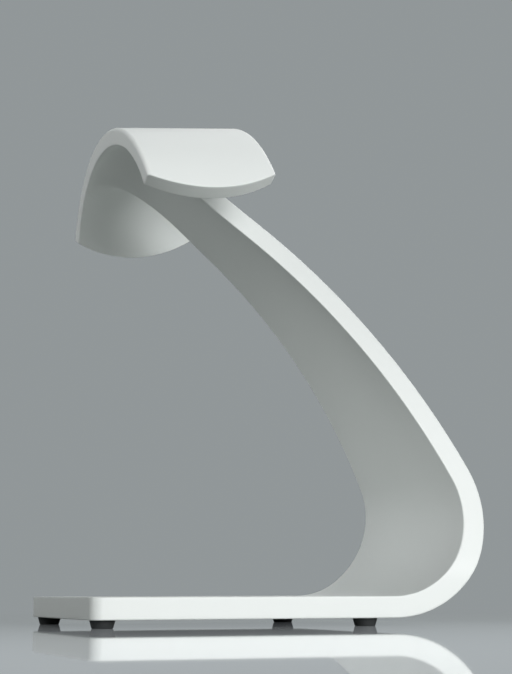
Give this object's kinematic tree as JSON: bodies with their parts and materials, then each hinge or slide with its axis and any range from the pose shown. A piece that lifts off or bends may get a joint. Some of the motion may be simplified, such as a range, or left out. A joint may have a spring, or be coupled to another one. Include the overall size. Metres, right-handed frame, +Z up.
{
  "type": "headphone stand",
  "caption": "Desk stand of one bent strip: a broad flat base turns up into a leaning arm that narrows to a neck and carries an arched saddle, on small rubber feet.",
  "frame": {"origin": "on the floor, under the middle of the stand's overall box", "axes": "+Z up, +X along the base from its free end towards the bend, +Y across the base"},
  "size_m": [0.2114, 0.1704, 0.269],
  "materials": {
    "band_plastic": "satin white moulding",
    "saddle_plastic": "satin white moulding",
    "rubber": "matt black",
    "steel": "plain",
    "brass": "turned"
  },
  "bodies": {
    "root": {"band": "band_plastic", "saddle": "saddle_plastic", "dowel_front": "steel", "dowel_back": "steel", "foot_end_front": "rubber", "foot_end_back": "rubber", "foot_bend_front": "rubber", "foot_bend_back": "rubber", "foot_washer_end_front": "steel", "foot_washer_end_back": "steel", "foot_washer_bend_front": "steel", "foot_washer_bend_back": "steel", "foot_screw_end_front": "steel", "foot_screw_end_back": "steel", "foot_screw_bend_front": "steel", "foot_screw_bend_back": "steel", "foot_insert_end_front": "brass", "foot_insert_end_back": "brass", "foot_insert_bend_front": "brass", "foot_insert_bend_back": "brass"}
  },
  "joints": []
}
